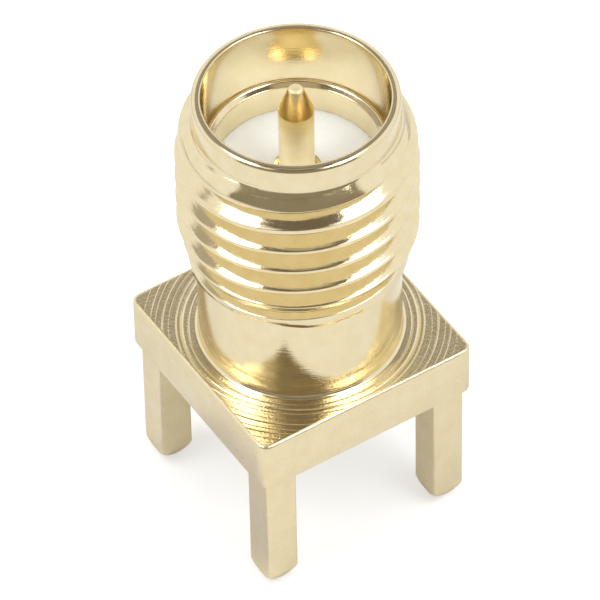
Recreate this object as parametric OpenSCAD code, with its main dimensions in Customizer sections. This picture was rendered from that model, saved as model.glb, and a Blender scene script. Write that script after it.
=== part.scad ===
// SMA connector for a printed circuit board: a straight through-hole jack with
// a male contact in its threaded socket, the reverse-polarity arrangement.
//
// The origin is on the connector's axis in the plane of the board, so the
// underside of the flange is at z = 0. The four legs and the tail of the
// centre contact go down through the board, and the barrel stands above it.

/* [Flange] */
// Side of the square flange
flange_w = 6.35; // [6.2:0.05:7]
// Thickness of the flange
flange_t = 1.55; // [1.2:0.05:2.5]
// Radius of the flange's upright corners
flange_corner_r = 0.28; // [0.12:0.02:0.4]
// Bevel round the flange's top face
flange_bevel = 0.08; // [0.02:0.01:0.1]

/* [Legs] */
// Distance between the centres of neighbouring legs
leg_pitch = 5.08; // [4.9:0.02:5.2]
// Side of each square leg
leg_w = 0.9; // [0.8:0.02:1]
// Length of the legs below the flange
leg_len = 4.05; // [3.2:0.05:5]
// Rounding round the tip of each leg
leg_tip_r = 0.32; // [0.1:0.02:0.36]
// Rounding of the long edges of each leg
leg_edge_r = 0.06; // [0.02:0.01:0.1]
// Fillet between a leg's inner faces and the flange
leg_fillet_r = 0.2; // [0.1:0.02:0.3]

/* [Barrel] */
// Height of the barrel above the flange
barrel_h = 8.2; // [7.5:0.1:12]
// Diameter of the plain neck under the thread
neck_d = 5.2; // [5.1:0.02:5.3]
// Fillet between the neck and the flange
neck_fillet_r = 0.2; // [0.1:0.02:0.3]
// Outside diameter of the rim
rim_d = 5.2; // [5.1:0.02:5.3]
// Rounding on the outside of the rim
rim_round = 0.16; // [0.05:0.01:0.2]
// Height of the plain band between the rim and the thread
nose_h = 0.76; // [0.4:0.02:1.2]

/* [Thread] */
// Outside diameter of the thread, nominally a quarter of an inch
thread_d = 6.1; // [6:0.02:6.34]
// Diameter at the bottom of the thread's groove
root_d = 5.24; // [5.2:0.02:5.4]
// Turns of thread in one inch
turns_per_inch = 36; // [32:1:40]
// Width of the flat along the thread's crest
crest_w = 0.08; // [0.04:0.01:0.12]
// Height above the flange at which the thread starts
thread_start = 2.75; // [2:0.05:3.5]
// Diameter of the cut-down ridge at the thread's lower end
runout_d = 5.62; // [5.4:0.02:5.8]
// Height over which the ridge is cut down to that diameter
runout_h = 0.55; // [0.3:0.05:0.8]
// Height over which the ridge then grows to its full diameter
taper_h = 0.7; // [0.3:0.05:0.9]
// Bevel at the thread's upper end
lead_bevel = 0.3; // [0.1:0.02:0.3]
// Height over which the crests round off towards that bevel, with the bevel
lead_h = 1.4; // [1:0.1:2]

/* [Socket] */
// Diameter of the mouth at the rim
mouth_d = 4.7; // [4.64:0.02:4.8]
// Depth of the tapered entry
entry_h = 0.3; // [0.1:0.05:0.6]
// Diameter of the socket, which takes the mating plug's outer contact
socket_d = 4.56; // [4.5:0.02:4.62]
// Depth of the ledge at the foot of the socket, below the rim
socket_depth = 1.76; // [1.5:0.02:2.1]
// Fillet between the socket's wall and the ledge
socket_fillet_r = 0.08; // [0.02:0.01:0.1]
// Height of the slope on the ledge
ledge_h = 0.06; // [0.02:0.02:0.2]

/* [Insulator] */
// Diameter of the insulator and of the bore that it is pressed into
insulator_d = 4.2; // [4.1:0.02:4.3]
// Depth of the insulator's face below the rim
insulator_depth = 2.58; // [2.3:0.02:3]

/* [Centre contact] */
// Diameter of the pin that enters the mating plug
pin_d = 0.9; // [0.86:0.01:0.94]
// Distance that the pin's tip stands past the rim
pin_proud = 0.27; // [0:0.01:0.4]
// Length of the tapered tip
tip_taper_h = 0.77; // [0.4:0.01:1]
// Diameter of the flat at the end of the tip
tip_flat_d = 0.34; // [0.2:0.02:0.5]
// Diameter of the contact inside the insulator
contact_d = 1.24; // [1.1:0.02:1.4]
// Height that the contact's shoulder stands above the insulator
shoulder_h = 0.08; // [0:0.02:0.2]
// Diameter of the solder tail
tail_d = 0.9; // [0.7:0.02:1]
// Length of the solder tail below the flange
tail_len = 2.9; // [1.5:0.1:3.2]
// Bevel round the end of the solder tail
tail_bevel = 0.12; // [0.05:0.01:0.2]

/* [Hidden] */
$fn = 96;
// Depth that one shape runs into another so that the two join
lap = 0.1;
// Distance that the thread's facets stand outside the neck and the nose
skin_gap = 0.02;

neck_r = neck_d / 2;
rim_r = rim_d / 2;
crest_r = thread_d / 2;
// The groove stays outside the neck and the nose, which run into the thread
low_r = neck_r + skin_gap;
high_r = rim_r + skin_gap;
root_r = max(root_d / 2, low_r, high_r);
rim_z = flange_t + barrel_h;
ledge_z = rim_z - socket_depth;
face_z = rim_z - insulator_depth;
tip_z = rim_z + pin_proud;

// The threaded stretch of the barrel, between the neck and the plain nose
thread_z0 = flange_t + thread_start;
thread_z1 = rim_z - nose_h;
thread_pitch = 25.4 / turns_per_inch;
// Angle from +X at which the ridge rises out of the neck
thread_angle = 132;
// Columns of points in one turn of the thread
turn_steps = 40;
// Half the angle between the two flanks of the ridge
flank_angle = 30;
// Radius of the cut-down ridge
runout_r = max(runout_d / 2, low_r + lap);
// Radius that the lead-in gives up above its foot, and of its outline
lead_drop = max(0.01, crest_r - high_r - lead_bevel);
lead_r = ((lead_h - lead_bevel) ^ 2 + lead_drop ^ 2) / (2 * lead_drop);
// Half the width of the ridge at its foot, and where its flank is half done
ridge_half_w = (crest_r - root_r) * tan(flank_angle) + crest_w / 2;
flank_mid = (ridge_half_w + crest_w / 2) / 2;
// Heights from the crest of the lines that wind up the barrel in each turn
winding_lines = [
    -ridge_half_w, -flank_mid, -crest_w / 2, crest_w / 2, flank_mid, ridge_half_w, thread_pitch / 2
];

// Points along an arc about c, from angle a0 to angle a1
function arc(c, r, a0, a1, n = 8) = [
    for (i = [0:n])
        let (a = a0 + (a1 - a0) * i / n)
        [c[0] + r * cos(a), c[1] + r * sin(a)]
];

// Radius of the 60 degree ridge at a height above or below its crest
function ridge_r(u) = max(root_r, crest_r - max(0, abs(u) - crest_w / 2) / tan(flank_angle));

// Radius of the blank that the thread is cut on. Its lower end has a small steep
// bevel up from the neck, a plain band and a taper to the full diameter.
function blank_low_r(up) =
    up < runout_h ? min(runout_r, low_r + 3 * up)
    : min(crest_r, runout_r + (crest_r - runout_r) * (up - runout_h) / taper_h);
// Its upper end has the rounded lead-in and the bevel down to the nose
function blank_high_r(z) =
    z < thread_z1 - lead_h ? crest_r
    : z < thread_z1 - lead_bevel ? crest_r - lead_r + sqrt(lead_r ^ 2 - (z - thread_z1 + lead_h) ^ 2)
    : high_r + thread_z1 - z;
function blank_r(z) = min(blank_low_r(z - thread_z0), blank_high_r(z));

// Points of one level ring round the barrel
function ring(r, z) = [
    for (i = [0:turn_steps - 1])
        let (a = 360 * i / turn_steps)
        [r * cos(a), r * sin(a), z]
];

// The right-hand thread, solid to the axis. Lines of points wind up the barrel
// along the foot, flanks and crest of the ridge, and every line that runs past
// an end of the stretch stops on the level ring there.
module thread() {
    lines = len(winding_lines);
    rows = lines * (ceil((thread_z1 - thread_z0) / thread_pitch) + 3);
    // Lines that pass this close to an end stop on it
    snap = 0.02;
    function line_z(i, j) =
        thread_z0 + winding_lines[j % lines]
        + thread_pitch * (floor(j / lines) - 1 + i / turn_steps - thread_angle / 360);
    function line_r(i, j) = min(ridge_r(winding_lines[j % lines]), blank_r(line_z(i, j)));
    // Number of the point where a line crosses a column. A whole turn further
    // on is the first column again, one ridge higher up.
    function at(i, j) =
        i == turn_steps ? at(0, j + lines)
        : line_z(i, j) < thread_z0 + snap ? i
        : line_z(i, j) > thread_z1 - snap ? turn_steps + i
        : 2 * turn_steps + i * (rows + 1) + j;
    windings = [
        for (i = [0:turn_steps - 1], j = [0:rows])
            let (a = 360 * i / turn_steps, r = line_r(i, j))
            [r * cos(a), r * sin(a), line_z(i, j)]
    ];
    skin = [
        for (i = [0:turn_steps - 1], j = [0:rows - lines - 1])
            let (a = at(i, j), b = at(i, j + 1), c = at(i + 1, j + 1), d = at(i + 1, j))
            each [if (c != d) [a, c, d], if (a != b) [a, b, c]]
    ];
    low_end = [for (i = [0:turn_steps - 1]) i];
    high_end = [for (i = [turn_steps - 1:-1:0]) turn_steps + i];
    polyhedron(
        concat(ring(low_r, thread_z0), ring(high_r, thread_z1), windings),
        concat(skin, [low_end, high_end]),
        convexity = 10
    );
}

// The neck, with the fillet that runs out onto the flange
module neck() {
    fillet = arc([neck_r + neck_fillet_r, flange_t + neck_fillet_r], neck_fillet_r, 270, 180);
    rotate_extrude()
        polygon(concat(
            [[0, flange_t - lap], [neck_r + neck_fillet_r, flange_t - lap]],
            fillet,
            [[neck_r, thread_z0 + lap], [0, thread_z0 + lap]]
        ));
}

// The plain nose above the thread, with the rounded rim
module nose() {
    rotate_extrude()
        polygon(concat(
            [[0, thread_z1 - lap], [rim_r, thread_z1 - lap]],
            arc([rim_r - rim_round, rim_z - rim_round], rim_round, 0, 90),
            [[0, rim_z]]
        ));
}

// The hollow through the body: the socket above and the insulator's bore below
module hollow() {
    socket_r = socket_d / 2;
    foot = arc([socket_r - socket_fillet_r, ledge_z + socket_fillet_r], socket_fillet_r, 270, 360, 6);
    rotate_extrude()
        polygon(concat(
            [[0, -lap], [insulator_d / 2, -lap], [insulator_d / 2, ledge_z - ledge_h]],
            foot,
            [
                [socket_r, rim_z - entry_h], [mouth_d / 2, rim_z],
                [mouth_d / 2, rim_z + lap], [0, rim_z + lap]
            ]
        ));
}

// The square flange with its rounded corners and bevelled top
module flange() {
    corner = flange_w / 2 - flange_corner_r;
    hull()
        for (x = [-corner, corner], y = [-corner, corner])
            translate([x, y, 0]) {
                cylinder(r = flange_corner_r, h = flange_t - flange_bevel, $fn = 32);
                cylinder(r = flange_corner_r - flange_bevel, h = flange_t, $fn = 32);
            }
}

// One leg, standing on its own axis and reaching up into the flange. Its
// section changes from a round at the tip to a square where the sides begin.
module leg() {
    // Angles round the tip's rounding, from the flat end to the sides
    hull()
        for (a = [0:15:90], x = [-1, 1], y = [-1, 1]) {
            half = leg_w / 2 - leg_tip_r * (1 - sin(a));
            r = min(half, leg_edge_r + leg_tip_r * cos(a));
            z = -leg_len + leg_tip_r * (1 - cos(a));
            translate([x * (half - r), y * (half - r), z])
                cylinder(r = r, h = lap - z, $fn = 24);
        }
}

// The fillet along one inner face of a leg, which lies along +X from it
module leg_fillet() {
    run = leg_w - 2 * leg_edge_r;
    translate([leg_w / 2, 0, 0])
        rotate([90, 0, 0])
            translate([0, 0, -run / 2])
                linear_extrude(run)
                    polygon(concat(
                        [[-lap, lap], [-lap, -leg_fillet_r]],
                        arc([leg_fillet_r, -leg_fillet_r], leg_fillet_r, 180, 90, 6),
                        [[leg_fillet_r, lap]]
                    ));
}

// Brass body, turned and milled in one piece and gold plated
module body() {
    color("gold")
        difference() {
            union() {
                flange();
                for (x = [-1, 1], y = [-1, 1])
                    translate([x * leg_pitch / 2, y * leg_pitch / 2, 0]) {
                        leg();
                        rotate(x > 0 ? 180 : 0) leg_fillet();
                        rotate(y > 0 ? 270 : 90) leg_fillet();
                    }
                neck();
                thread();
                nose();
            }
            hollow();
        }
}

// White insulator, pressed into the body and flush with the flange's underside
module insulator() {
    color("white")
        difference() {
            cylinder(d = insulator_d, h = face_z);
            translate([0, 0, -lap])
                cylinder(d = contact_d, h = face_z + 2 * lap);
        }
}

// Centre contact: tapered pin, wider middle pressed into the insulator with
// its shoulder just above it, and solder tail
module centre_contact() {
    shoulder_z = face_z + shoulder_h;
    color("goldenrod")
        rotate_extrude()
            polygon([
                [0, -tail_len], [tail_d / 2 - tail_bevel, -tail_len],
                [tail_d / 2, -tail_len + tail_bevel], [tail_d / 2, 0],
                [contact_d / 2, 0], [contact_d / 2, shoulder_z],
                [pin_d / 2, shoulder_z], [pin_d / 2, tip_z - tip_taper_h],
                [tip_flat_d / 2, tip_z], [0, tip_z]
            ]);
}

body();
insulator();
centre_contact();
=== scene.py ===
import math

import bpy
import numpy as np
from mathutils import Matrix, Vector


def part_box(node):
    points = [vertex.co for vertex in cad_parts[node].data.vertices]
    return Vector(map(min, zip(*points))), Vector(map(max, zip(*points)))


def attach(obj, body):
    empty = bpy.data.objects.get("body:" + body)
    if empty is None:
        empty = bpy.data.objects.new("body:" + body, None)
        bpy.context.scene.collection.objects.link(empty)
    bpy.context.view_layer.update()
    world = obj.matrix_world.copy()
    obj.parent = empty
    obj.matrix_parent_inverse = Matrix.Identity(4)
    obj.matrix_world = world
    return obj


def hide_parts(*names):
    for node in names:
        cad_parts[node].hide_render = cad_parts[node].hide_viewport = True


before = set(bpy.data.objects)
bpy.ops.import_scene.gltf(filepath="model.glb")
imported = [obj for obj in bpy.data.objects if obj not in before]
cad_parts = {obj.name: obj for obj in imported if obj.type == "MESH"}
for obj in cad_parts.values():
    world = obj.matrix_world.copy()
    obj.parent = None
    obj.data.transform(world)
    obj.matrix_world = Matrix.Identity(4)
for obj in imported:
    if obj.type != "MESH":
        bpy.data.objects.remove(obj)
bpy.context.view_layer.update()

# Sizes and places are in millimetres, in the frame of the CAD model: the axis
# is X = Y = 0 and the board's plane is Z = 0. Blender gets them times MM.
MM = 0.001

# ---------------------------------------------------------------- dimensions
body_lo, body_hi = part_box("body")
pin_lo, pin_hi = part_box("centre_contact")
_, ins_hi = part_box("insulator")

# Flange
FLANGE_HALF = body_hi.x / MM
FLANGE_T = 1.55
FLANGE_CORNER_R = 0.28
FLANGE_TOP_ROUND = 0.08
FLANGE_FOOT_ROUND = 0.06

# Legs
LEG_TIP_Z = body_lo.z / MM
LEG_HALF = 0.45
LEG_PITCH = 5.08
LEG_TIP_R = 0.32
LEG_TIP_RISE = 1.3      # the tip's round is this many times as tall as wide
LEG_TIP_TURN = 1.25     # how fast the leg's edges grow rounder down the tip
LEG_EDGE_R = 0.06
LEG_FILLET_R = 0.2
LEG_ROOT_H = 0.2        # how far a leg's root reaches into the flange
LEG_ROOT_INSET = 0.02   # and how far inside the flange's sides it stays there

# Neck, nose and rim
RIM_Z = body_hi.z / MM
NECK_R = 2.6
NECK_FILLET_R = 0.12
RIM_R = 2.6
RIM_ROUND = 0.14

# Thread, right-handed
PITCH = 25.4 / 36
CREST_R = 3.05
ROOT_R = 2.62
CREST_W = 0.09
CREST_ROUND = 0.03
ROOT_ROUND = 0.06
THREAD_Z0 = FLANGE_T + 2.75
THREAD_Z1 = RIM_Z - 0.76
THREAD_ANGLE = 132.0    # where the first crest passes THREAD_Z0, in degrees
LOWER_FLANK = 30.0      # half angles of a ridge's two flanks, in degrees
UPPER_FLANK = 24.5
UPPER_FLANK_TOP = 30.0  # the upper flank's, on the last turns
FLANK_CHANGE = (7.5, 8.0)
RUNOUT_R = 2.81         # the ridge's first stretch is cut down to this
RUNOUT_STEP = 0.07
RUNOUT_H = 0.55
TAPER_H = 0.6
LEAD_H = 1.4            # the crests curve in over this height at the top
LEAD_BEVEL = 0.3

# Socket and bore
MOUTH_R = 2.35
MOUTH_ROUND = 0.11
SOCKET_R = 2.28
SOCKET_FILLET_R = 0.08
LEDGE_Z = RIM_Z - 1.76
LEDGE_H = 0.06
LEDGE_ROUND = 0.03
BORE_R = 2.1
FACE_Z = ins_hi.z / MM

# Centre contact
TIP_Z = pin_hi.z / MM
TAIL_Z = pin_lo.z / MM
PIN_R = 0.45
CONTACT_R = 0.62
SHOULDER_H = 0.08
TIP_TAPER_H = 0.77
TIP_FLAT_R = 0.17
TAIL_ROUND = 0.12
TIP_ROUND = 0.16

# Columns of faces round the body and round the contact
COLUMNS = 256
CONTACT_COLUMNS = 96


# -------------------------------------------------------------- mesh helpers
def link_mesh(name, verts, faces, materials):
    """A new object, from vertices in metres."""
    mesh = bpy.data.meshes.new(name)
    mesh.from_pydata([tuple(v) for v in verts], [], faces)
    for material in materials:
        mesh.materials.append(material)
    obj = bpy.data.objects.new(name, mesh)
    bpy.context.scene.collection.objects.link(obj)
    return obj


def arc(cx, cy, r, a0, a1, n):
    """Points on an arc, angles in degrees."""
    return [
        (cx + r * math.cos(math.radians(a)), cy + r * math.sin(math.radians(a)))
        for a in np.linspace(a0, a1, n + 1)
    ]


def rounded(corners, n):
    """An open outline through (r, z, rounding) corners, n steps to a round."""
    points = [np.array(corner[:2], float) for corner in corners]
    out = [points[0]]
    for i in range(1, len(points) - 1):
        p = points[i]
        a, b = points[i - 1] - p, points[i + 1] - p
        la, lb = np.linalg.norm(a), np.linalg.norm(b)
        a, b = a / la, b / lb
        turn = math.pi - math.acos(max(-1, min(1, float(a @ b))))
        if corners[i][2] <= 0 or turn < 0.02:
            out.append(p)
            continue
        # The round leaves a little of each side straight
        d = min(corners[i][2] * math.tan(turn / 2), 0.48 * la, 0.48 * lb)
        r = d / math.tan(turn / 2)
        mid = (a + b) / np.linalg.norm(a + b)
        c = p + mid * r / math.cos(turn / 2)
        start, end = p + a * d - c, p + b * d - c
        for t in np.linspace(0, 1, n + 1):
            v = start * math.sin((1 - t) * turn) + end * math.sin(t * turn)
            out.append(c + v / math.sin(turn))
    out.append(points[-1])
    return out


def column_angles(columns):
    return 2 * math.pi * np.arange(columns) / columns


def ring(r, z, columns=COLUMNS):
    a = column_angles(columns)
    return np.stack([r * np.cos(a), r * np.sin(a), np.full(columns, z)], 1)


def square_ring(half, corner, z):
    """A rounded square, at the columns' angles."""
    c = half - corner
    out = []
    for a in column_angles(COLUMNS):
        x, y = abs(math.cos(a)), abs(math.sin(a))
        reach = half / max(x, y)
        if min(x, y) * reach > c and corner > 0:
            # Where the ray meets the corner's arc about (c, c)
            b = c * (x + y)
            reach = b + math.sqrt(max(0.0, b * b - 2 * c * c + corner * corner))
        out.append((reach * math.cos(a), reach * math.sin(a), z))
    return np.array(out)


class Skin:
    """Collects vertices and quads; vertices in the same place are one."""

    def __init__(self):
        self.verts, self.faces, self.mats, self.at = [], [], [], {}

    def vert(self, p):
        key = tuple(np.round(p, 5))
        if key not in self.at:
            self.at[key] = len(self.verts)
            self.verts.append(p)
        return self.at[key]

    def face(self, ids, mat):
        loop = [v for i, v in enumerate(ids) if v != ids[i - 1]]
        if len(loop) > 2 and len(set(loop)) == len(loop):
            self.faces.append(loop)
            self.mats.append(mat)

    def rows(self, rows, mat):
        """Joins closed rings of points, each the same length, one to the next."""
        ids = [[self.vert(p) for p in row] for row in rows]
        n = len(ids[0])
        for low, high in zip(ids, ids[1:]):
            for i in range(n):
                j = (i + 1) % n
                self.face([low[i], low[j], high[j], high[i]], mat)
        return ids

    def lathe(self, outline, mat, columns=COLUMNS):
        self.rows([ring(r, z, columns) for r, z in outline], mat)

    def build(self, name, materials):
        """The skin as a smooth object, shaded flat where its faces are flat."""
        obj = link_mesh(name, np.asarray(self.verts) * MM, self.faces, materials)
        polygons = obj.data.polygons
        polygons.foreach_set("material_index", np.asarray(self.mats, np.int32))
        polygons.foreach_set("use_smooth", [True] * len(polygons))
        obj.data.update()
        normals = obj.modifiers.new("normals", "WEIGHTED_NORMAL")
        normals.weight = 60
        normals.keep_sharp = True
        return obj


# -------------------------------------------------- the thread's own surface
def blank(z):
    """Radius of the blank that the thread is cut on."""
    z = np.clip(z, THREAD_Z0, THREAD_Z1)
    band_top = THREAD_Z0 + RUNOUT_H
    heights = (THREAD_Z0, THREAD_Z0 + RUNOUT_STEP, band_top, band_top + TAPER_H)
    low = np.interp(z, heights, (NECK_R, RUNOUT_R, RUNOUT_R, CREST_R))
    # The lead-in is an arc, tangent to the crests and ending in a bevel
    drop, run = CREST_R - RIM_R - LEAD_BEVEL, LEAD_H - LEAD_BEVEL
    lead_r = (run ** 2 + drop ** 2) / (2 * drop)
    over = np.clip(z - THREAD_Z1 + LEAD_H, 0, run)
    high = CREST_R - lead_r + np.sqrt(lead_r ** 2 - over ** 2)
    bevel = RIM_R + THREAD_Z1 - z
    return np.minimum(np.minimum(low, high), bevel)


def flank(side, z):
    """Half angle of a ridge's lower (-1) or upper (1) flank, at height z."""
    if side < 0:
        return LOWER_FLANK
    start, end = FLANK_CHANGE
    t = min(1, max(0, (z - start) / (end - start)))
    return UPPER_FLANK + (UPPER_FLANK_TOP - UPPER_FLANK) * t * t * (3 - 2 * t)


def between(a, b):
    """Two points that keep a flank's shading flat between its corners."""
    return [(a[0] + (b[0] - a[0]) * t, a[1] + (b[1] - a[1]) * t) for t in (0.15, 0.85)]


def ridge_outline(zc):
    """One turn's outline, (r, z, rounding) corners from groove to groove, for
    a crest at height zc."""
    slopes = {s: math.tan(math.radians(flank(s, zc))) for s in (-1, 1)}
    half_w = {s: (CREST_R - ROOT_R) * slopes[s] + CREST_W / 2 for s in (-1, 1)}

    def cross(s):
        """Where flank s comes out of the blank, measured from zc."""
        lo, hi = CREST_W / 2, half_w[s]
        for _ in range(30):
            u = (lo + hi) / 2
            ridge = CREST_R - (u - CREST_W / 2) / slopes[s]
            if ridge > blank(zc + s * u):
                lo = u
            else:
                hi = u
        return s * lo

    crest = [(float(blank(zc + u)), zc + u) for u in np.linspace(cross(-1), cross(1), 4)]
    foot = {s: (ROOT_R, zc + s * half_w[s]) for s in (-1, 1)}
    points = [(ROOT_R, zc - PITCH / 2), foot[-1]]
    points += between(foot[-1], crest[0])
    points += crest
    points += between(crest[-1], foot[1])
    points += [foot[1], (ROOT_R, zc + PITCH / 2)]
    half = (0, ROOT_ROUND, 0, 0, CREST_ROUND, 0)
    return [(*p, rounding) for p, rounding in zip(points, half + half[::-1])]


def thread_rows():
    """Points of the helical skin, as an array (column, row, xyz), and the rows
    to a turn: the last column's row is the first column's, one turn higher."""
    turns = math.ceil((THREAD_Z1 - THREAD_Z0) / PITCH) + 3
    spare = 2   # turns under THREAD_Z0, so that every column starts below it
    columns = []
    for i in range(COLUMNS + 1):
        points = []
        for k in range(-spare, turns):
            zc = THREAD_Z0 + PITCH * (k + (360 * i / COLUMNS - THREAD_ANGLE) / 360)
            points += rounded(ridge_outline(zc), 4)[:-1]
        columns.append(points)
    p = np.array(columns)
    rows_per_turn = p.shape[1] // (turns + spare)
    z = np.clip(p[:, :, 1], THREAD_Z0, THREAD_Z1)
    r = np.minimum(p[:, :, 0], blank(z))
    a = 2 * np.pi * np.arange(COLUMNS + 1) / COLUMNS
    xyz = np.stack([r * np.cos(a)[:, None], r * np.sin(a)[:, None], z], 2)
    return xyz, rows_per_turn


def add_thread(skin, mat):
    xyz, n = thread_rows()
    rows = xyz.shape[1]
    ids = [[skin.vert(xyz[i, j]) for j in range(rows)] for i in range(COLUMNS)]

    def at(i, j):
        return ids[0][j + n] if i == COLUMNS else ids[i][j]

    for i in range(COLUMNS):
        for j in range(rows - n - 1):
            skin.face([at(i, j), at(i + 1, j), at(i + 1, j + 1), at(i, j + 1)], mat)


# ------------------------------------------------------ the body's other forms
# Some outlines have a point a little way from a corner, which keeps the
# shading of the straight stretch flat.
def add_neck(skin, mat):
    """From the fillet on the flange up to the thread."""
    outline = arc(NECK_R + NECK_FILLET_R, FLANGE_T + NECK_FILLET_R, NECK_FILLET_R, 270, 180, 8)
    outline += [(NECK_R, FLANGE_T + 1.2), (NECK_R, THREAD_Z0 - 0.06), (NECK_R, THREAD_Z0)]
    skin.lathe(outline, mat)


def add_nose_and_socket(skin, mat):
    """From the thread over the rim, down the socket and the ledge to the bore."""
    nose = [(RIM_R, THREAD_Z1), (RIM_R, THREAD_Z1 + 0.06), (RIM_R, RIM_Z - RIM_ROUND - 0.04)]
    nose += arc(RIM_R - RIM_ROUND, RIM_Z - RIM_ROUND, RIM_ROUND, 0, 90, 8)
    inside = [
        (*nose[-1], 0),
        (MOUTH_R, RIM_Z, MOUTH_ROUND),
        (MOUTH_R - 0.02, RIM_Z - 0.3, 0),
        (SOCKET_R, LEDGE_Z + 0.3, 0),
        (SOCKET_R, LEDGE_Z, SOCKET_FILLET_R),
        (BORE_R, LEDGE_Z - LEDGE_H, LEDGE_ROUND),
        (BORE_R, FACE_Z - 0.3, 0),
        (BORE_R, 0.0, 0),
    ]
    skin.lathe(nose[:-1] + rounded(inside, 6), mat)


def add_flange(skin, top_mat, side_mat):
    """The top, from the neck out, then the sides and the underside."""
    half, corner = FLANGE_HALF, FLANGE_CORNER_R
    top, foot = FLANGE_TOP_ROUND, FLANGE_FOOT_ROUND
    inner = ring(NECK_R + NECK_FILLET_R, FLANGE_T)
    outer = square_ring(half - top, corner - top, FLANGE_T)
    top_rows = [inner * (1 - t) + outer * t for t in (0, 0.35, 0.7, 0.97, 1)]
    skin.rows(top_rows[::-1], top_mat)

    side_rows = []
    for a in np.radians(np.linspace(0, 90, 6)):
        inset = top - top * math.sin(a)
        side_rows.append(square_ring(half - inset, corner - inset, FLANGE_T - top + top * math.cos(a)))
    for a in np.radians(np.linspace(0, 90, 5)):
        inset = foot - foot * math.cos(a)
        side_rows.append(square_ring(half - inset, corner - inset, foot - foot * math.sin(a)))
    side_rows.append(ring(BORE_R, 0.0))
    skin.rows(side_rows[::-1], side_mat)


def leg_loop(x0, x1, y0, y1, r, z):
    """A rounded rectangle at height z."""
    centres = ((x1 - r, y1 - r), (x0 + r, y1 - r), (x0 + r, y0 + r), (x1 - r, y0 + r))
    out = []
    for quarter, (cx, cy) in enumerate(centres):
        out += [(x, y, z) for x, y in arc(cx, cy, r, 90 * quarter, 90 * quarter + 90, 4)]
    return np.array(out)


def add_leg(skin, mat, sx, sy):
    """A stack of rounded rectangles, rounded in at the tip and flared out into
    the flange on the two inner sides."""
    half, edge, tip, fillet = LEG_HALF, LEG_EDGE_R, LEG_TIP_R, LEG_FILLET_R
    loops = []  # insets of the outer and the inner sides, height, edges' round
    for a in np.radians(np.linspace(0, 90, 8)):
        inset = tip * (1 - math.sin(a))
        height = LEG_TIP_Z + LEG_TIP_RISE * tip * (1 - math.cos(a))
        corner = min(half - inset, edge + LEG_TIP_TURN * tip * math.cos(a)) - 1e-4
        loops.append((inset, inset, height, corner))
    loops.append((0, 0, -fillet, edge))
    for a in np.radians(np.linspace(12, 78, 6)):
        loops.append((0, -fillet * (1 - math.cos(a)), fillet * (math.sin(a) - 1), edge))
    loops.append((0, -fillet, 0.0, edge))
    loops.append((LEG_ROOT_INSET, -fillet, LEG_ROOT_H, edge))

    rows = []
    for outer, inner, z, corner in loops:
        row = leg_loop(inner - half, half - outer, inner - half, half - outer, corner, z)
        row[:, 0] = sx * (row[:, 0] + LEG_PITCH / 2)
        row[:, 1] = sy * (row[:, 1] + LEG_PITCH / 2)
        rows.append(row if sx * sy > 0 else row[::-1])
    ids = skin.rows(rows, mat)
    skin.face(ids[0][::-1], mat)
    skin.face(ids[-1], mat)


# --------------------------------------------------------------- shader nodes
class Tree:
    """Short calls for the nodes of a material or a world."""

    def __init__(self, owner, output):
        owner.use_nodes = True
        self.tree = owner.node_tree
        self.tree.nodes.clear()
        self.out = self.node(output)

    def node(self, kind, **props):
        n = self.tree.nodes.new(kind)
        for k, v in props.items():
            setattr(n, k, v)
        return n

    def put(self, value, socket):
        """Links an output to the socket, or sets the socket to a value."""
        if hasattr(value, "node"):
            self.tree.links.new(value, socket)
        elif isinstance(value, tuple) and len(socket.default_value) == 4:
            socket.default_value = (*value, 1)
        else:
            socket.default_value = value

    def math(self, op, a, b=0.0, clamp=False):
        n = self.node("ShaderNodeMath", operation=op, use_clamp=clamp)
        self.put(a, n.inputs[0])
        self.put(b, n.inputs[1])
        return n.outputs[0]

    def remap(self, value, a, b, lo, hi):
        n = self.node("ShaderNodeMapRange")
        self.put(value, n.inputs["Value"])
        for key, v in zip(("From Min", "From Max", "To Min", "To Max"), (a, b, lo, hi)):
            n.inputs[key].default_value = v
        return n.outputs["Result"]

    def rays(self):
        """1 for camera rays, and 1 for glossy or transmission rays."""
        path = self.node("ShaderNodeLightPath")
        gloss = self.math("MAXIMUM", path.outputs["Is Glossy Ray"], path.outputs["Is Transmission Ray"])
        return path.outputs["Is Camera Ray"], gloss


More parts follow.
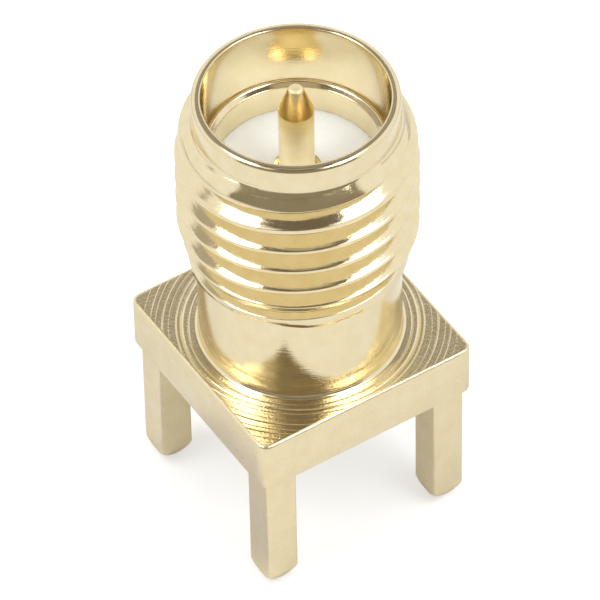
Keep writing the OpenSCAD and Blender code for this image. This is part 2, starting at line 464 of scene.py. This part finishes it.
class Material(Tree):
    """A material's nodes. Positions are in millimetres, from the origin."""

    def __init__(self, name):
        self.material = bpy.data.materials.new(name)
        super().__init__(self.material, "ShaderNodeOutputMaterial")
        coord = self.node("ShaderNodeTexCoord")
        scale = self.node("ShaderNodeVectorMath", operation="SCALE")
        scale.inputs["Scale"].default_value = 1 / MM
        self.put(coord.outputs["Object"], scale.inputs[0])
        self.place = scale.outputs[0]

    def height(self):
        n = self.node("ShaderNodeSeparateXYZ")
        self.put(self.place, n.inputs[0])
        return n.outputs[2]

    def radius(self):
        flat = self.node("ShaderNodeVectorMath", operation="MULTIPLY")
        self.put(self.place, flat.inputs[0])
        flat.inputs[1].default_value = (1, 1, 0)
        n = self.node("ShaderNodeVectorMath", operation="LENGTH")
        self.put(flat.outputs[0], n.inputs[0])
        return n.outputs["Value"]

    def noise(self, scale, detail, rough=0.5, along=None):
        """Noise in space or, where along is given, along that one measure."""
        n = self.node("ShaderNodeTexNoise", noise_dimensions="3D" if along is None else "1D")
        if along is None:
            self.put(self.place, n.inputs["Vector"])
        else:
            self.put(along, n.inputs["W"])
        n.inputs["Scale"].default_value = scale
        n.inputs["Detail"].default_value = detail
        n.inputs["Roughness"].default_value = rough
        return n.outputs["Fac"]

    def mottle(self, scale, a, b):
        """Soft patches of colour b in colour a."""
        n = self.node("ShaderNodeMix", data_type="RGBA")
        self.put(self.remap(self.noise(scale, 3), 0.35, 0.65, 0, 1), n.inputs["Factor"])
        self.put(a, n.inputs[6])
        self.put(b, n.inputs[7])
        return n.outputs[2]

    def total(self, *terms):
        """The sum of (value, weight) pairs."""
        parts = [self.math("MULTIPLY", value, weight) for value, weight in terms]
        out = parts[0]
        for part in parts[1:]:
            out = self.math("ADD", out, part)
        return out

    def surface(self, color, rough, metallic, height, bump, **sockets):
        """A principled surface; bump is the height's scale in millimetres."""
        relief = self.node("ShaderNodeBump")
        relief.inputs["Strength"].default_value = 1.0
        relief.inputs["Distance"].default_value = bump * MM
        self.put(height, relief.inputs["Height"])
        n = self.node("ShaderNodeBsdfPrincipled")
        self.put(color, n.inputs["Base Color"])
        self.put(rough, n.inputs["Roughness"])
        n.inputs["Metallic"].default_value = metallic
        for key, value in sockets.items():
            n.inputs[key.replace("_", " ")].default_value = value
        self.put(relief.outputs["Normal"], n.inputs["Normal"])
        self.put(n.outputs[0], self.out.inputs["Surface"])
        return self.material

    def glow(self, color=(1, 1, 1), strength=1.0):
        n = self.node("ShaderNodeEmission")
        self.put(color, n.inputs["Color"])
        self.put(strength, n.inputs["Strength"])
        return n.outputs[0]


# ------------------------------------------------------------------ materials
GOLD = (0.86, 0.75, 0.50)
GOLD_DEEP = (0.83, 0.71, 0.45)
CONTACT_GOLD = (1.0, 0.87, 0.56)
CONTACT_GOLD_DEEP = (0.98, 0.82, 0.48)
INSULATOR_WHITE = (0.92, 0.95, 0.96)
INSULATOR_GREY = (0.89, 0.92, 0.93)

# The facing tool's grooves on the flange: radius, half width and depth in mm
GROOVES = [
    (2.86, 0.035, 0.010), (3.03, 0.050, 0.019), (3.17, 0.025, 0.009), (3.36, 0.020, 0.004),
    (3.52, 0.030, 0.008), (3.70, 0.020, 0.004), (3.84, 0.030, 0.007), (4.02, 0.020, 0.004),
]


def turned_gold():
    """Plated barrel: fine turning lines round the axis, a faint mottle."""
    m = Material("plated_turned")
    drift = m.noise(0.7, 2)
    lines = m.noise(16, 3, 0.6, along=m.total((m.height(), 1), (drift, 0.05)))
    grain = m.noise(14, 3, 0.6)
    height = m.total((lines, 0.7), (grain, 0.5))
    rough = m.remap(grain, 0.3, 0.7, 0.06, 0.14)
    return m.surface(m.mottle(2.5, GOLD, GOLD_DEEP), rough, 1.0, height, 0.0025)


def faced_gold():
    """Plated flange top: the rings that a facing tool leaves."""
    m = Material("plated_faced")
    drift = m.math("SUBTRACT", m.noise(0.35, 2), 0.5)
    r = m.total((m.radius(), 1), (drift, 0.05))
    lines = m.noise(15, 3, 0.6, along=r)
    grain = m.noise(16, 3, 0.6)
    height = m.total((lines, 0.0045), (grain, 0.0048))
    for at, width, depth in GROOVES:
        away = m.math("DIVIDE", m.math("ABSOLUTE", m.math("SUBTRACT", r, at)), width)
        cut = m.math("SUBTRACT", 1.0, away, clamp=True)
        height = m.total((height, 1), (cut, -depth))
    rough = m.remap(grain, 0.3, 0.7, 0.10, 0.18)
    return m.surface(m.mottle(2.5, GOLD, GOLD_DEEP), rough, 1.0, height, 1.0)


def satin_gold():
    """Plated sides and legs: a fine even grain."""
    m = Material("plated_satin")
    grain = m.noise(13, 4, 0.6)
    height = m.total((grain, 1), (m.noise(1.6, 2), 1.2))
    rough = m.remap(grain, 0.3, 0.7, 0.26, 0.38)
    return m.surface(m.mottle(2.0, GOLD, GOLD_DEEP), rough, 1.0, height, 0.006)


def contact_gold():
    """Plated centre contact: deeper, brighter gold, duller on the tip's flat."""
    m = Material("plated_contact")
    z = m.height()
    lines = m.noise(20, 3, 0.6, along=z)
    grain = m.noise(12, 3, 0.6)
    height = m.total((lines, 1), (grain, 0.3))
    dull = m.remap(z, TIP_Z - 0.12, TIP_Z - 0.04, 0.0, 0.30)
    rough = m.math("ADD", m.remap(grain, 0.3, 0.7, 0.16, 0.26), dull)
    return m.surface(m.mottle(4.0, CONTACT_GOLD, CONTACT_GOLD_DEEP), rough, 1.0, height, 0.0018)


def white_insulator():
    """Fluoropolymer: white, slightly waxy, with faint turning marks."""
    m = Material("insulator_white")
    lines = m.noise(9, 2, 0.5, along=m.radius())
    grain = m.noise(9, 3, 0.6)
    height = m.total((lines, 1), (grain, 0.6))
    rough = m.remap(grain, 0.3, 0.7, 0.34, 0.5)
    return m.surface(
        m.mottle(1.2, INSULATOR_WHITE, INSULATOR_GREY), rough, 0.0, height, 0.004,
        Subsurface_Weight=0.25, Subsurface_Radius=(0.001, 0.001, 0.001), Subsurface_Scale=0.4,
    )


# ----------------------------------------------------------------------- body
TURNED, FACED, SATIN = 0, 1, 2
skin = Skin()
add_neck(skin, TURNED)
add_thread(skin, TURNED)
add_nose_and_socket(skin, TURNED)
add_flange(skin, FACED, SATIN)
for sx in (-1, 1):
    for sy in (-1, 1):
        add_leg(skin, SATIN, sx, sy)

body_skin = skin.build("body_skin", [turned_gold(), faced_gold(), satin_gold()])
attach(body_skin, "root")
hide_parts("body")

# ------------------------------------------------------------- centre contact
skin = Skin()
contact_outline = [
    (0.0, TAIL_Z, 0),
    (PIN_R, TAIL_Z, TAIL_ROUND),
    (PIN_R, 0.0, 0),
    (CONTACT_R, 0.0, 0.02),
    (CONTACT_R, FACE_Z - 0.1, 0),
    (CONTACT_R, FACE_Z + SHOULDER_H, 0.04),
    (PIN_R, FACE_Z + SHOULDER_H + 0.01, 0.06),
    (PIN_R, FACE_Z + 0.4, 0),
    (PIN_R, TIP_Z - TIP_TAPER_H, 0.06),
    (TIP_FLAT_R, TIP_Z, TIP_ROUND),
    (0.0, TIP_Z, 0),
]
skin.lathe(rounded(contact_outline, 6), 0, CONTACT_COLUMNS)
contact_skin = skin.build("contact_skin", [contact_gold()])
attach(contact_skin, "root")
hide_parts("centre_contact")

# ------------------------------------------------------------------ insulator
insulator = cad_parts["insulator"]
insulator.data.materials.clear()
insulator.data.materials.append(white_insulator())

# --------------------------------------------------------------------- camera
# The photograph's angle, in degrees, and its long lens. The eye's place is
# measured from a point on the axis: back, to the right and up in the view.
CAMERA_AZ, CAMERA_EL, CAMERA_ROLL = -32.067, 47.1, -1.2175
CAMERA_LENS, CAMERA_SENSOR = 387.6996, 36
CAMERA_DISTANCE, CAMERA_RIGHT, CAMERA_UP = 163.07, 0.0153, -0.7992
CAMERA_TARGET_Z = 3.55

az, el, roll = (math.radians(v) for v in (CAMERA_AZ, CAMERA_EL, CAMERA_ROLL))
back = Vector((math.sin(az) * math.cos(el), -math.cos(az) * math.cos(el), math.sin(el)))
flat_right = Vector((math.cos(az), math.sin(az), 0))
true_up = back.cross(flat_right)
right = flat_right * math.cos(roll) + true_up * math.sin(roll)
up = true_up * math.cos(roll) - flat_right * math.sin(roll)
eye = back * CAMERA_DISTANCE + right * CAMERA_RIGHT + up * CAMERA_UP + Vector((0, 0, CAMERA_TARGET_Z))

camera = bpy.data.cameras.new("camera")
camera.sensor_width = CAMERA_SENSOR
camera.lens = CAMERA_LENS
camera.clip_start = 0.001
camera.clip_end = 20
camera_obj = bpy.data.objects.new("camera", camera)
rotation = Matrix((right, up, back)).transposed().to_4x4()
camera_obj.matrix_world = Matrix.Translation(eye * MM) @ rotation
bpy.context.scene.collection.objects.link(camera_obj)
bpy.context.scene.camera = camera_obj

# ----------------------------------------------------------------- the studio
FLOOR_Z = LEG_TIP_Z * MM
FLOOR_HALF = 1.5            # metres
CANOPY_R = 0.9              # metres
LIGHT_DISTANCE = 0.25       # metres
LIGHT_TARGET = Vector((0, 0, 0.005))
AMBIENT = 0.45              # the white room's light on the part

toward = Vector((back.x, back.y, 0)).normalized()


def on_dome(azimuth, elevation):
    """A direction, by the azimuth from the camera's side towards its right."""
    a, e = math.radians(azimuth), math.radians(elevation)
    return (toward * math.cos(a) + flat_right * math.sin(a)) * math.cos(e) + Vector((0, 0, math.sin(e)))


def floor_material():
    """Diffuse white, to which camera rays and gloss each add a plain glow."""
    m = Material("floor_white")
    diffuse = m.node("ShaderNodeBsdfDiffuse")
    m.put((0.71, 0.71, 0.71), diffuse.inputs["Color"])
    camera_ray, gloss_ray = m.rays()
    glow = m.glow(strength=m.total((camera_ray, 0.48), (gloss_ray, 0.16)))
    both = m.node("ShaderNodeAddShader")
    m.put(diffuse.outputs[0], both.inputs[0])
    m.put(glow, both.inputs[1])
    m.put(both.outputs[0], m.out.inputs["Surface"])
    return m.material


def glow_material(name, color):
    m = Material(name)
    m.put(m.glow(color), m.out.inputs["Surface"])
    return m.material


def level_sheet(name, x0, x1, y0, y1, z, material):
    """A flat rectangle of the stage, in metres."""
    corners = [(x0, y0, z), (x1, y0, z), (x1, y1, z), (x0, y1, z)]
    obj = link_mesh(name, corners, [(0, 1, 2, 3)], [material])
    return obj


def gloss_only(obj):
    obj.visible_camera = False
    obj.visible_diffuse = False
    obj.visible_shadow = False
    obj.visible_transmission = False


def painted_floor_shadow(name, x0, x1, y0, y1, color):
    """A grey card on the floor beside the part, which only gloss sees: a painted floor shadow that
    darkens the part's reflections of the floor there.
    """
    sides = [v * MM for v in (x0, x1, y0, y1)]
    gloss_only(level_sheet(name, *sides, FLOOR_Z + 0.02 * MM, glow_material(name + "_grey", color)))


def canopy(name, az_low, az_high, el_low, el_high, color):
    """Part of the dim studio's dome round the table, which only gloss sees."""
    across, over = 24, 6
    verts = [
        tuple(on_dome(a, e) * CANOPY_R)
        for e in np.linspace(el_low, el_high, over + 1)
        for a in np.linspace(az_low, az_high, across + 1)
    ]
    faces = []
    for j in range(over):
        for i in range(across):
            a = j * (across + 1) + i
            faces.append((a, a + 1, a + across + 2, a + across + 1))
    obj = link_mesh(name, verts, faces, [glow_material(name, color)])
    gloss_only(obj)


def light(name, azimuth, elevation, size, watts, roll=0.0, gloss=True):
    """A rectangular softbox that faces the part, turned about its own axis."""
    data = bpy.data.lights.new(name, "AREA")
    data.shape = "RECTANGLE"
    data.size, data.size_y = size
    data.energy = watts
    obj = bpy.data.objects.new(name, data)
    direction = on_dome(azimuth, elevation)
    obj.location = LIGHT_TARGET + direction * LIGHT_DISTANCE
    turn = Matrix.Rotation(math.radians(roll), 3, "Z")
    obj.rotation_euler = (direction.to_track_quat("Z", "Y").to_matrix() @ turn).to_euler()
    obj.visible_glossy = gloss
    bpy.context.scene.collection.objects.link(obj)


def white_world():
    """White for the camera and for gloss, dimmer as light on the part."""
    world = bpy.data.worlds.new("studio")
    bpy.context.scene.world = world
    w = Tree(world, "ShaderNodeOutputWorld")
    camera_ray, gloss_ray = w.rays()
    strength = w.remap(w.math("MAXIMUM", camera_ray, gloss_ray), 0, 1, AMBIENT, 1.0)
    background = w.node("ShaderNodeBackground")
    w.put((1, 1, 1), background.inputs["Color"])
    w.put(strength, background.inputs["Strength"])
    w.put(background.outputs[0], w.out.inputs["Surface"])


level_sheet("floor", -FLOOR_HALF, FLOOR_HALF, -FLOOR_HALF, FLOOR_HALF, FLOOR_Z, floor_material())

# Painted floor shadow on the part's left, seen only in its reflections: darker near the part, lighter
# further back.
painted_floor_shadow("painted_shadow_near", -6.2, -3.4, -3.2, 2.8, (0.63, 0.61, 0.67))
painted_floor_shadow("painted_shadow_far", -6.2, -3.4, 2.8, 5.4, (0.88, 0.88, 0.90))

canopy("room_front", -60, 60, 0.5, 43, (0.30, 0.27, 0.22))
canopy("room_ahead", -30, 28, 43, 66, (0.23, 0.21, 0.20))
canopy("room_top", -180, 180, 66, 79, (0.18, 0.15, 0.12))
canopy("room_zenith", -180, 180, 79, 90, (0.50, 0.44, 0.36))
canopy("room_back", 135, 225, 42, 66, (0.36, 0.33, 0.30))
canopy("room_back_left", 225, 252, 42, 66, (0.48, 0.44, 0.38))

light("box_left", -77, 58, (0.15, 0.08), 0.19, roll=-38)
light("box_right", 62, 57, (0.16, 0.085), 0.22, roll=38)
light("overhead", 0, 90, (0.12, 0.12), 0.15, gloss=False)

white_world()
bpy.context.scene.view_settings.view_transform = "Standard"
